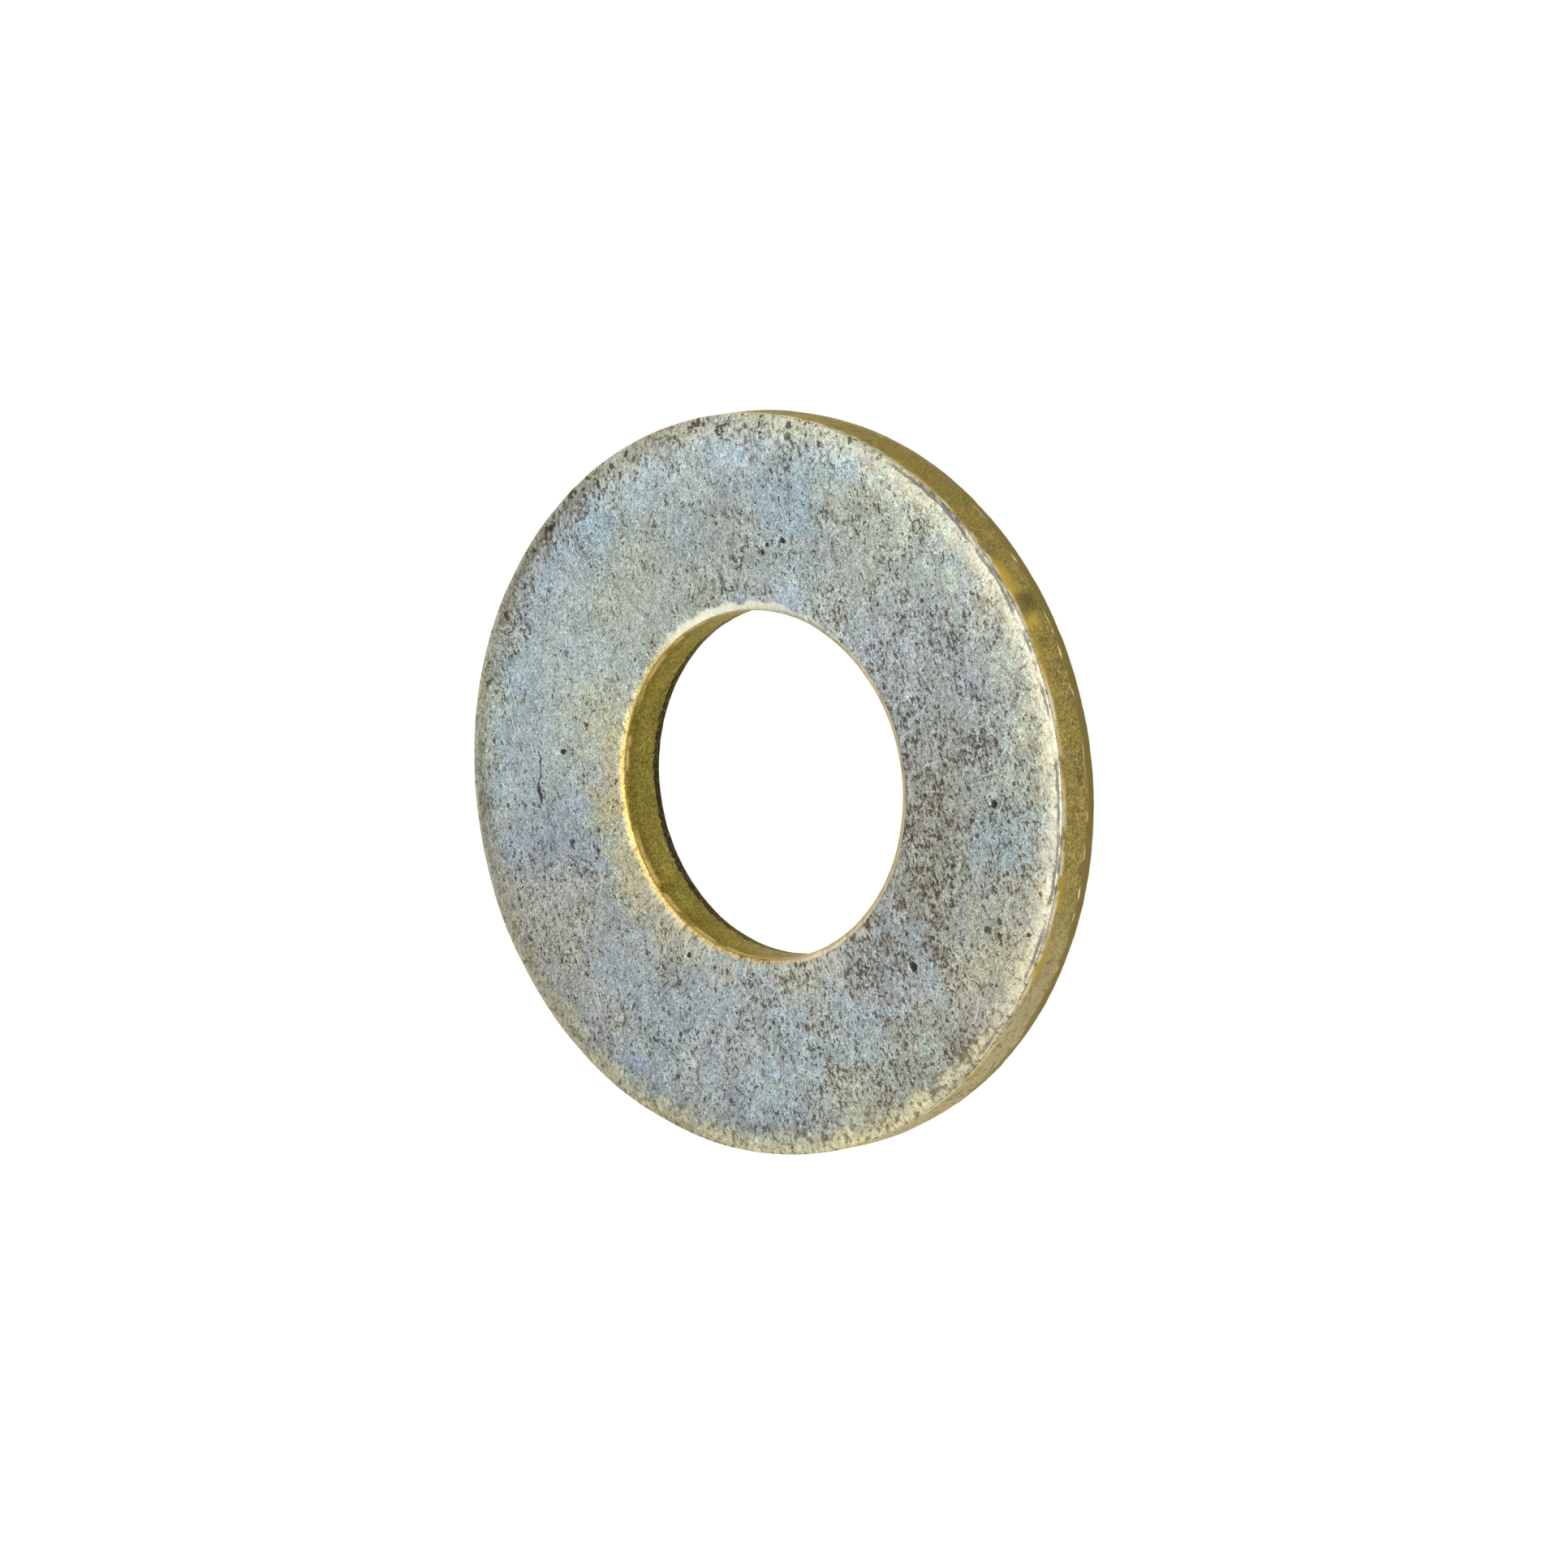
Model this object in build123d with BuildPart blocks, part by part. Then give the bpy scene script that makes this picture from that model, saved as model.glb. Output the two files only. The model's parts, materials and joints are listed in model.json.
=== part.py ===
from build123d import *

import os

# A flat washer for an M8 screw: one ring, punched from steel strip in a single stroke and then plated.
# It lies flat. +Z runs along the bore, out of the face that the press tools entered, and the origin is
# on the bore's axis in the plane of the underside. Millimetres.

# Driving dimensions
outer_diameter = 18.0
bore_diameter = 8.46
thickness = 1.45

# What punching leaves on each cut wall, as shares of the thickness. From the top face down, a wall is a
# rolled-over shoulder, a straight smooth land, and a fracture zone that leans into the metal.
rim_roll_width = 0.35 * thickness
rim_roll_depth = 0.06 * thickness
rim_fracture_height = 0.28 * thickness
rim_fracture_lean = 0.05 * thickness
bore_roll_width = 0.20 * thickness
bore_roll_depth = 0.04 * thickness
bore_fracture_height = 0.15 * thickness
bore_fracture_lean = 0.01 * thickness

# Edges rounded by tumbling the washers before plating
shoulder_edge_radius = 0.035 * thickness
underside_edge_radius = 0.03 * thickness

outer_radius = outer_diameter / 2
bore_radius = bore_diameter / 2
rim_shoulder_height = thickness - rim_roll_depth
bore_shoulder_height = thickness - bore_roll_depth


def edges_at_height(part, height):
    """The circular edges of a turned part that lie at one height above the origin."""
    return part.edges().filter_by_position(Axis.Z, height - 0.001, height + 0.001)


# The ring: half of its cross-section, turned about the bore's axis
with BuildPart() as flat_washer:
    with BuildSketch(Plane.XZ):
        with BuildLine():
            top_face = Line(
                (bore_radius + bore_roll_width, thickness),
                (outer_radius - rim_roll_width, thickness),
            )
            rim_roll = TangentArc(
                top_face @ 1,
                (outer_radius, rim_shoulder_height),
                tangent=top_face % 1,
            )
            rim_land = Line(rim_roll @ 1, (outer_radius, rim_fracture_height))
            rim_fracture = Line(rim_land @ 1, (outer_radius - rim_fracture_lean, 0))
            underside = Line(rim_fracture @ 1, (bore_radius + bore_fracture_lean, 0))
            bore_fracture = Line(underside @ 1, (bore_radius, bore_fracture_height))
            bore_land = Line(bore_fracture @ 1, (bore_radius, bore_shoulder_height))
            bore_roll = TangentArc(
                top_face @ 0,
                bore_land @ 1,
                tangent=-(top_face % 0),
            )
        make_face()
    revolve(axis=Axis.Z)
    fillet(edges_at_height(flat_washer, rim_shoulder_height), radius=shoulder_edge_radius)
    fillet(edges_at_height(flat_washer, bore_shoulder_height), radius=shoulder_edge_radius)
    fillet(edges_at_height(flat_washer, 0), radius=underside_edge_radius)
flat_washer.part.label = "flat_washer"

os.makedirs("parts", exist_ok=True)
export_step(flat_washer.part, "parts/flat_washer.step")
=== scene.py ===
import json
import math

import bpy
import numpy as np
from mathutils import Matrix, Vector


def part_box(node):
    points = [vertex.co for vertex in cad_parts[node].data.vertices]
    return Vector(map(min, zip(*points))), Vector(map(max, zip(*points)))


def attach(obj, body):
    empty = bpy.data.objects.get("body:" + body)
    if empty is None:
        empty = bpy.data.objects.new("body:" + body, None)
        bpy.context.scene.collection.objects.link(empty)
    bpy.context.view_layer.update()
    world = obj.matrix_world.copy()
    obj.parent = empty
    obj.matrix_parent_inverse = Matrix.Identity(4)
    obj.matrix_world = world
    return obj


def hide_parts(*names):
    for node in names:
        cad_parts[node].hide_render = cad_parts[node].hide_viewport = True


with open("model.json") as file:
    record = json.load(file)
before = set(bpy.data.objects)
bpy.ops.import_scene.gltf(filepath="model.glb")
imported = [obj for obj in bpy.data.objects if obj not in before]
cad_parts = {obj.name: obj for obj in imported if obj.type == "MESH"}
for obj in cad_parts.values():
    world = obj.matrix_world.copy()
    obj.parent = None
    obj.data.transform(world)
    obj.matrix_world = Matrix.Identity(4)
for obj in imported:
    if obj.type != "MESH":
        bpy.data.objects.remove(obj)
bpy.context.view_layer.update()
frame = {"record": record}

MM = 0.001

# ---------------------------------------------------------------------------------------------------
# Sizes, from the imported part
# ---------------------------------------------------------------------------------------------------
MOUNTS = {mount["name"]: mount for mount in frame["record"]["mounts"]}
WASHER_LOW, WASHER_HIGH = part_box("flat_washer")
RIM_RADIUS = (WASHER_HIGH.x - WASHER_LOW.x) / 2
BORE_RADIUS = MOUNTS["bore"]["dims"]["r_mm"] * MM
THICKNESS = WASHER_HIGH.z - WASHER_LOW.z

# How the press shaped the cut walls, as shares of the thickness
RIM_ROLL_WIDTH = 0.65 * THICKNESS
RIM_ROLL_DEPTH = 0.06 * THICKNESS
BORE_ROLL_WIDTH = 0.20 * THICKNESS
BORE_ROLL_DEPTH = 0.04 * THICKNESS
RIM_FRACTURE_HEIGHT = 0.28 * THICKNESS
BORE_FRACTURE_HEIGHT = 0.15 * THICKNESS
RIM_FRACTURE_LEAN = 0.05 * THICKNESS
BORE_FRACTURE_LEAN = 0.01 * THICKNESS
SHOULDER_EDGE_RADIUS = 0.035 * THICKNESS
UNDERSIDE_EDGE_RADIUS = 0.03 * THICKNESS

# How much the rolls and fractures wander around the ring, as shares of themselves, and over what length
ROLL_WIDTH_WANDER, ROLL_WIDTH_CELL = 0.16, 3.0 * MM
ROLL_DEPTH_WANDER, ROLL_DEPTH_CELL = 0.20, 2.2 * MM
FRACTURE_WANDER, FRACTURE_CELL = 0.14, 0.9 * MM

# The height of the fine relief and the length of its waves, everywhere, on the rolls and on the fractures
SKIN_RELIEF, SKIN_CELL = 0.004 * MM, 1.1 * MM
ROLL_RELIEF, ROLL_CELL = 0.006 * MM, 0.5 * MM
BREAK_RELIEF, BREAK_CELL = 0.005 * MM, 0.25 * MM

# ---------------------------------------------------------------------------------------------------
# Camera: the photograph looks down on the washer from this side, with the near side to the right
# ---------------------------------------------------------------------------------------------------
CAMERA_AZIMUTH = math.radians(45)
CAMERA_ELEVATION = math.radians(51.7)
CAMERA_ROLL = math.radians(-99.3)
CAMERA_DISTANCE = 36.7 * RIM_RADIUS
CAMERA_SIDE_STEP = 0.0128 * RIM_RADIUS
CAMERA_RISE = -0.0049 * RIM_RADIUS
CAMERA_LENS_MM = 313.7
SENSOR_WIDTH_MM = 36
CAMERA_NEAREST = 0.01
CAMERA_FARTHEST = 10


def direction(azimuth, elevation):
    """The way from the washer towards an azimuth and elevation. Azimuth 0 is the front, -Y."""
    level = math.cos(elevation)
    return Vector((math.sin(azimuth) * level, -math.cos(azimuth) * level, math.sin(elevation)))


def make_camera():
    back = direction(CAMERA_AZIMUTH, CAMERA_ELEVATION)
    level_right = Vector((0, 0, 1)).cross(back).normalized()
    level_up = back.cross(level_right)
    right = math.cos(CAMERA_ROLL) * level_right + math.sin(CAMERA_ROLL) * level_up
    up = back.cross(right)
    place = Vector((0, 0, THICKNESS / 2)) + CAMERA_DISTANCE * back
    place += CAMERA_SIDE_STEP * right + CAMERA_RISE * up
    camera = bpy.data.objects.new("camera", bpy.data.cameras.new("camera"))
    camera.matrix_world = Matrix.Translation(place) @ Matrix((right, up, back)).transposed().to_4x4()
    camera.data.lens = CAMERA_LENS_MM
    camera.data.sensor_width = SENSOR_WIDTH_MM
    camera.data.clip_start = CAMERA_NEAREST
    camera.data.clip_end = CAMERA_FARTHEST
    bpy.context.collection.objects.link(camera)
    bpy.context.scene.camera = camera


make_camera()

# ---------------------------------------------------------------------------------------------------
# The ring's mesh
# ---------------------------------------------------------------------------------------------------
# How many points there are around the ring, and how many rings of them each stretch of its profile has
SEGMENTS = 780
TOP_RINGS = 50
UNDERSIDE_RINGS = 10
ROLL_RINGS = 12
EDGE_RINGS = 4
LAND_RINGS = 7
FRACTURE_RINGS = 6
# The noise repeats after this many cells
NOISE_CELLS = 64


def noise(points, cell, seed):
    """Smooth random values between -1 and 1 that change over about one cell."""
    table = np.random.default_rng(seed).uniform(-1, 1, (NOISE_CELLS,) * 3)
    scaled = points / cell
    corner = np.floor(scaled).astype(int)
    share = scaled - corner
    share = share * share * (3 - 2 * share)
    total = np.zeros(points.shape[:-1])
    for step in np.ndindex(2, 2, 2):
        weight = np.prod(np.where(step, share, 1 - share), axis=-1)
        index = (corner + step) % NOISE_CELLS
        total += weight * table[index[..., 0], index[..., 1], index[..., 2]]
    return total


def layered_noise(points, cell, seed, layers):
    """Noise with finer and weaker noise on top, each layer half as large and half as strong."""
    return sum(noise(points, cell / 2**k, seed + k) / 2**k for k in range(layers))


ANGLES = np.linspace(0, 2 * math.pi, SEGMENTS, endpoint=False)
ROUND = np.stack([np.cos(ANGLES), np.sin(ANGLES), np.zeros(SEGMENTS)], axis=-1)


def wander(radius, cell, seed):
    """Smooth random values around a circle, for a width or a height that isn't quite even."""
    return layered_noise(ROUND * radius, cell, seed, 3)


class Profile:
    """The rings that make up the skin. Each has a radius, a height, the lean of its outward normal from
    +Z, and how far it is on a wall, along a roll and on a fracture, all at every angle."""

    def __init__(self):
        self.radii = []
        self.heights = []
        self.leans = []
        self.walls = []
        self.rolls = []
        self.fractures = []

    def add(self, radius, height, lean, wall=0.0, roll=0.0, fracture=0.0):
        flat = np.zeros(SEGMENTS)
        self.radii.append(radius + flat)
        self.heights.append(height + flat)
        self.leans.append(lean + flat)
        self.walls.append(wall + flat)
        self.rolls.append(roll + flat)
        self.fractures.append(fracture + flat)


# About how much of the shoulder's edge radius lies across the arc, before its exact start is known
ARC_SHARE = 0.7


def shoulder_rings(width, depth):
    """The rolled shoulder between the top face and a wall, from the face down: it starts almost flat and
    steepens, and then a tight arc ends it. Yields how far each ring is inside the wall and below the
    face, its lean, and how far along the roll and the arc it is."""
    edge = SHOULDER_EDGE_RADIUS
    steepest = np.arctan(3 * depth / (width - ARC_SHARE * edge))
    inner = edge * (1 - np.sin(steepest))
    for share in np.linspace(0, 1, ROLL_RINGS):
        lean = np.arctan(3 * depth * share**2 / (width - inner))
        yield width - (width - inner) * share, depth * share**3, lean, share, 0.0
    for share in np.linspace(0, 1, EDGE_RINGS + 1)[1:]:
        lean = steepest + (math.pi / 2 - steepest) * share
        drop = depth + edge * (np.cos(steepest) - np.cos(lean))
        yield edge * (1 - np.sin(lean)), drop, lean, 1.0, share


def wall_rings(wall_radius, side, roll_width, roll_depth, fracture_height, fracture_lean, seed):
    """One cut wall from the top face down to the underside. side is 1 on the rim and -1 in the bore."""
    width = roll_width * (1 + ROLL_WIDTH_WANDER * wander(wall_radius, ROLL_WIDTH_CELL, seed))
    depth = roll_depth * (1 + ROLL_DEPTH_WANDER * wander(wall_radius, ROLL_DEPTH_CELL, seed + 10))
    break_height = fracture_height * (1 + FRACTURE_WANDER * wander(wall_radius, FRACTURE_CELL, seed + 20))
    rings = Profile()
    for inset, drop, lean, roll, wall in shoulder_rings(width, depth):
        rings.add(wall_radius - side * inset, THICKNESS - drop, side * lean, wall=wall, roll=roll)
    land_top = rings.heights[-1]
    for share in np.linspace(0, 1, LAND_RINGS + 1)[1:]:
        height = land_top + (break_height - land_top) * share
        rings.add(wall_radius, height, side * math.pi / 2, wall=1.0)
    edge = UNDERSIDE_EDGE_RADIUS
    break_lean = side * (math.pi / 2 + np.arctan2(fracture_lean, break_height))
    for share in np.linspace(0, 1, FRACTURE_RINGS + 1)[1:]:
        height = break_height + (edge - break_height) * share
        inset = fracture_lean * (1 - height / break_height)
        rings.add(wall_radius - side * inset, height, break_lean, wall=1.0, fracture=1.0)
    last_radius = rings.radii[-1]
    for share in np.linspace(0, 1, EDGE_RINGS)[1:]:
        turn = math.pi / 2 * share
        radius = last_radius - side * edge * (1 - math.cos(turn))
        height = edge * (1 - math.sin(turn))
        rings.add(radius, height, side * (math.pi / 2 + turn), wall=1 - share, fracture=1.0)
    return rings


def join_rings(*groups):
    """One closed loop of rings, as arrays of ring by angle."""
    names = ("radii", "heights", "leans", "walls", "rolls", "fractures")
    return {name: np.concatenate([np.array(getattr(group, name)) for group in groups]) for name in names}


def face_rings(inner_radius, outer_radius, height, lean, count):
    """The flat rings between two radii, without the two that the neighbours already have."""
    rings = Profile()
    for share in np.linspace(0, 1, count + 2)[1:-1]:
        rings.add(inner_radius + (outer_radius - inner_radius) * share, height, lean)
    return rings


def reverse(rings):
    for values in vars(rings).values():
        values.reverse()
    return rings


def washer_rings():
    rim = wall_rings(
        RIM_RADIUS, 1, RIM_ROLL_WIDTH, RIM_ROLL_DEPTH, RIM_FRACTURE_HEIGHT, RIM_FRACTURE_LEAN, seed=100
    )
    bore = wall_rings(
        BORE_RADIUS, -1, BORE_ROLL_WIDTH, BORE_ROLL_DEPTH, BORE_FRACTURE_HEIGHT, BORE_FRACTURE_LEAN, seed=200
    )
    top = face_rings(bore.radii[0], rim.radii[0], THICKNESS, 0.0, TOP_RINGS)
    underside = face_rings(rim.radii[-1], bore.radii[-1], 0.0, math.pi, UNDERSIDE_RINGS)
    return join_rings(top, rim, underside, reverse(bore))


def place_points(rings):
    points = rings["radii"][..., None] * ROUND
    points[..., 2] = rings["heights"]
    return points


def outward(rings):
    normals = np.sin(rings["leans"])[..., None] * ROUND
    normals[..., 2] = np.cos(rings["leans"])
    return normals


# The larger pits on the top face. Each is a distance from the axis as a share of the rim's radius, an
# angle in degrees from +X, and the radius of its dark spot and its depth in millimetres.
LARGE_PITS = [
    (0.63, 32.6, 0.075, 0.020),
    (0.65, 31.4, 0.075, 0.020),
    (0.67, 27, 0.09, 0.022),
    (0.78, 304, 0.12, 0.030),
    (0.68, 262, 0.13, 0.034),
    (0.54, 186, 0.08, 0.022),
    (0.68, 120, 0.09, 0.026),
    (0.95, 28, 0.13, 0.030),
]
# A large pit's bowl is this many times as wide as its dark spot
BOWL_SPREAD = 1.3

# The pits in all, and how far out the small ones go, as a share of the rim's radius
PIT_COUNT = 200
SMALL_PIT_LIMIT = 0.97
# A small pit's smallest and largest radius in millimetres, its depth as a share of that, and how dark it is
SMALL_PIT_SIZES = (0.07, 0.13)
SMALL_PIT_DEPTH = 0.09
SMALL_PIT_STAIN = 0.15
STAINED_SIDE = math.radians(-75)


def polar(share, angle):
    """x and y in metres, from a share of the rim's radius and an angle in degrees from +X."""
    turn = math.radians(angle)
    return share * RIM_RADIUS * math.cos(turn), share * RIM_RADIUS * math.sin(turn)


def pit_list():
    """Every pit on the top face as x, y, radius and depth in metres, and how dark it is. There are more
    small ones towards the stained side."""
    random = np.random.default_rng(7)
    pits = []
    for share, angle, radius, depth in LARGE_PITS:
        pits.append((*polar(share, angle), BOWL_SPREAD * radius * MM, depth * MM, 0.0))
    while len(pits) < PIT_COUNT:
        place = math.sqrt(random.uniform(BORE_RADIUS**2, (SMALL_PIT_LIMIT * RIM_RADIUS) ** 2))
        turn = random.uniform(-math.pi, math.pi)
        if random.uniform() < 0.45 + 0.45 * math.cos(turn - STAINED_SIDE):
            size = random.uniform(*SMALL_PIT_SIZES) * MM
            stain = SMALL_PIT_STAIN * random.uniform(0.2, 1.6)
            x = place * math.cos(turn)
            y = place * math.sin(turn)
            pits.append((x, y, size, SMALL_PIT_DEPTH * size, stain))
    return pits


def relief(rings, points):
    """How far the skin stands out from the even shape, and how dark a pit is there, 0 to 1."""
    top = np.cos(rings["leans"]) > 0.5
    below = np.cos(rings["leans"]) < -0.5
    height = SKIN_RELIEF * layered_noise(points, SKIN_CELL, 31, 4)
    height += ROLL_RELIEF * rings["rolls"] * layered_noise(points, ROLL_CELL, 41, 3)
    height += BREAK_RELIEF * rings["fractures"] * layered_noise(points, BREAK_CELL, 51, 3)
    depth = np.zeros(height.shape)
    inside = np.zeros(height.shape)
    for x, y, radius, deepest, stain in pit_list():
        gap = np.hypot(points[..., 0] - x, points[..., 1] - y) / radius
        bowl = np.where(top & (gap < 1), (1 - np.minimum(gap, 1) ** 2) ** 2, 0)
        depth = np.maximum(depth, deepest * bowl)
        inside = np.maximum(inside, stain * bowl)
    height = np.where(below, -np.abs(height), height)
    return height - depth, inside


def build_washer():
    rings = washer_rings()
    points = place_points(rings)
    height, inside = relief(rings, points)
    points = points + height[..., None] * outward(rings)
    points[..., 2] = np.maximum(points[..., 2], 0)
    count = len(points)
    ring, step = np.meshgrid(np.arange(count), np.arange(SEGMENTS), indexing="ij")
    next_ring = (ring + 1) % count
    next_step = (step + 1) % SEGMENTS
    corners = [(ring, step), (next_ring, step), (next_ring, next_step), (ring, next_step)]
    quads = np.stack([r * SEGMENTS + s for r, s in corners], axis=-1).reshape(-1, 4)
    mesh = bpy.data.meshes.new("washer_body")
    mesh.from_pydata(points.reshape(-1, 3), [], quads)
    mesh.shade_smooth()
    zones = {
        "wall": rings["walls"],
        "roll": rings["rolls"],
        "fracture": rings["fractures"],
        "pit": inside,
    }
    for name, values in zones.items():
        layer = mesh.attributes.new(name, "FLOAT", "POINT")
        layer.data.foreach_set("value", values.astype(np.float32).ravel())
    washer = bpy.data.objects.new("washer_body", mesh)
    bpy.context.collection.objects.link(washer)
    return washer


# ---------------------------------------------------------------------------------------------------
# Colours and marks of the yellow zinc
# ---------------------------------------------------------------------------------------------------
# The face. A factor is multiplied into the colour under it.
BLUE_ZINC = (0.32, 0.41, 0.47, 1)
GREEN_ZINC = (0.41, 0.46, 0.415, 1)
LILAC_ZINC = (0.39, 0.41, 0.45, 1)
CREAM_ZINC = (0.47, 0.455, 0.355, 1)
# The factor below is a painted highlight: it brightens and warms the face towards the rim on one side
RIM_HIGHLIGHT_TINT = (1.36, 1.27, 1.09, 1)
RUST_FLECK = (0.20, 0.165, 0.135, 1)
BROWN_FLECK = (0.09, 0.072, 0.050, 1)
DOT_BROWN = (0.055, 0.042, 0.030, 1)
PIT_BROWN = (0.03, 0.025, 0.020, 1)
BRIGHT_LINE = (0.72, 0.76, 0.72, 1)
GRAZING_TINT = (0.80, 0.72, 0.52, 1)

# The rolled shoulders. Most of these paint light: the cream colours and factors, the bore's cream, the gold
# lip factor, the gold edge and the pale gold are painted highlights, and the olive fringe is painted shade.
CREAM_EDGE = (0.62, 0.60, 0.50, 1)
CREAM_HIGHLIGHT_FACTOR = (1.40, 1.26, 0.98, 1)
SHEEN_FACTOR = (1.24, 1.20, 1.00, 1)
OLIVE_SHADE_FRINGE = (0.28, 0.265, 0.19, 1)
TAN_EDGE = (0.75, 0.66, 0.50, 1)
DARK_SPOT = (0.075, 0.062, 0.042, 1)
DARK_LINE = (0.12, 0.11, 0.11, 1)
BORE_CREAM_HIGHLIGHT = (0.88, 0.87, 0.74, 1)
GOLD_LIP_HIGHLIGHT_FACTOR = (1.30, 1.02, 0.52, 1)
GOLD_EDGE_HIGHLIGHT = (0.52, 0.37, 0.13, 1)
PALE_GOLD = (1.0, 0.86, 0.58, 1)

# The cut walls. The darker olive for one side is painted shade, the cream lip is a painted highlight, and
# the black of the bore's break is partly painted shade.
OLIVE_RIM = (0.245, 0.195, 0.060, 1)
OLIVE_BORE = (0.205, 0.168, 0.036, 1)
SHADED_OLIVE = (0.13, 0.105, 0.035, 1)
PALE_OLIVE = (0.43, 0.385, 0.27, 1)
GOLD_PATCH = (0.36, 0.25, 0.04, 1)
BORE_GOLD = (0.125, 0.092, 0.010, 1)
CREAM_LIP_HIGHLIGHT = (0.62, 0.58, 0.42, 1)
OLIVE_BREAK = (0.18, 0.145, 0.045, 1)
BLACK_BREAK_AND_SHADE = (0.025, 0.022, 0.014, 1)
PALE_FLECK = (0.85, 0.84, 0.62, 1)
GOLD_MARK = (0.46, 0.33, 0.05, 1)
DARK_MARK = (0.07, 0.055, 0.025, 1)

# The sides on which the colour changes, as angles from +X. The stained side is with the pits.
# Most of the others are where light or shade is painted: highlights on the rolled edges, and shade on the
# far edge of the rim and on one side of its wall.
HIGHLIT_SIDE = math.radians(-32)
SPOTTED_SIDE = math.radians(62)
SHEEN_SIDE = math.radians(214)
SHADED_SIDE = math.radians(115)
BORE_HIGHLIGHT_SIDE = math.radians(36)
GOLD_LIP_HIGHLIGHT_SIDE = math.radians(150)
PALE_HIGHLIGHT_SIDE = math.radians(-66)
WALL_SHADE_SIDE = math.radians(33)
PALE_SIDE = math.radians(-128)

# Where changes in colour come in, a painted highlight among them: the distances from the axis in millimetres
# with none and all of one
RIM_AND_BORE = (6.0, 7.0)
RIM_HIGHLIGHT_REACH = (6.8, 9.4)
RIM_FLECK_REACH = (7.4, 8.7)
SPOTTED_REACH = (7.8, 8.8)
BORE_FLECK_REACH = (6.6, 4.4)
BORE_STREAK_REACH = (5.3, 4.3)

# The same on the walls, as heights in millimetres. The black at the bore's foot, partly painted shade,
# reaches a little above the break.
THICKNESS_MM = THICKNESS / MM
WALL_GOLD_HEIGHT = (0.60 * THICKNESS_MM, 0.85 * THICKNESS_MM)
CREST_HEIGHT = (0.80 * THICKNESS_MM, 0.88 * THICKNESS_MM)
BORE_GOLD_HEIGHT = (0.55 * THICKNESS_MM, 0.85 * THICKNESS_MM)
BLACK_BREAK_HEIGHT = (1.333 * BORE_FRACTURE_HEIGHT / MM, 1.15 * BORE_FRACTURE_HEIGHT / MM)
BURR_HEIGHT = (0.20 * THICKNESS_MM, 0.26 * THICKNESS_MM)

# How fast a place that is drawn out for streaks changes around the axis
AROUND_SCALE = 7.0

# How the streaks on the face are turned and drawn out, and the same for the scratches from tumbling
STREAK_TURN = math.radians(-53)
STREAK_STRETCH = (0.6, 1.0, 1.0)
HAIRLINE_TURNS = (math.radians(-53), math.radians(-20))
HAIRLINE_STRETCH = (0.9, 15.0, 1.0)

# Flecks on the face: whether they are drawn out as streaks, how many fit in a millimetre, the noise at
# which they start and are full, how strong they are, and their colour
FLECKS = [
    (True, 3.0, 0.56, 0.74, 0.40, RUST_FLECK),
    (True, 8.0, 0.545, 0.68, 0.60, RUST_FLECK),
    (True, 12.0, 0.57, 0.64, 0.95, BROWN_FLECK),
    (False, 8.0, 0.63, 0.665, 0.90, BROWN_FLECK),
]

# Where the film's tone shifts. Each is the side it is on, in degrees from +X, how close to that side it
# starts, the distances from the axis in millimetres with none and all of it, and the factor on the colour.
TINTS = [
    (195, -0.1, 0.0, 1.0, (1.00, 0.945, 0.915, 1)),
    (-72, 0.55, 7.4, 5.6, (0.92, 0.86, 0.83, 1)),
    (-100, 0.75, 6.4, 7.2, (1.01, 0.95, 0.83, 1)),
    (-27, 0.85, 8.4, 7.4, (0.97, 0.99, 1.11, 1)),
    (36, 0.40, 7.4, 8.4, (1.20, 1.24, 1.30, 1)),
    (188, 0.85, 7.4, 8.2, (0.84, 0.89, 1.00, 1)),
    (152, 0.85, 5.0, 6.2, (0.88, 0.85, 0.89, 1)),
    (235, 0.60, 8.4, 7.4, (1.15, 1.16, 1.14, 1)),
    (148, 0.50, 5.8, 4.6, (1.22, 1.00, 0.66, 1)),
    (13, 0.70, 5.6, 4.6, (1.12, 1.13, 1.18, 1)),
    (61, 0.80, 7.4, 6.2, (0.94, 0.92, 0.90, 1)),
    (123, 0.85, 7.4, 8.4, (1.13, 1.13, 1.08, 1)),
    (-87, 0.85, 7.6, 8.4, (0.92, 0.91, 0.94, 1)),
]

# Small dark dots on the top face: a share of the rim's radius, an angle in degrees from +X, and a radius
# in millimetres
DARK_DOTS = [
    (0.61, -40, 0.07),
    (0.73, -33, 0.055),
    (0.67, -18, 0.05),
    (0.76, -12, 0.055),
    (0.53, -33, 0.08),
    (0.70, -53, 0.07),
    (0.71, -60, 0.07),
    (0.85, -52, 0.055),
    (0.83, -59, 0.055),
    (0.67, -71, 0.06),
    (0.73, -63, 0.075),
    (0.665, -84, 0.065),
    (0.71, -85, 0.07),
    (0.83, -80, 0.11),
    (0.87, -80, 0.10),
    (0.855, -77.5, 0.08),
    (0.96, -70, 0.06),
    (0.955, -77, 0.07),
    (0.61, -93, 0.06),
    (0.61, 112, 0.07),
    (0.77, 132, 0.06),
    (0.58, 140, 0.06),
    (0.68, 141, 0.075),
    (0.60, 145, 0.075),
    (0.53, -164, 0.055),
    (0.49, -133, 0.07),
    (0.865, -166, 0.08),
    (0.64, -143, 0.05),
    (0.655, -144, 0.045),
    (0.975, 65, 0.10),
    (0.965, 66, 0.07),
    (0.975, 72, 0.07),
    (0.955, 72.5, 0.08),
    (0.97, 81.5, 0.09),
    (0.975, 86.5, 0.08),
    (0.965, 36.5, 0.07),
    (0.975, 40, 0.09),
    (0.98, 45, 0.08),
    (0.98, 28, 0.11),
]

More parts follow.
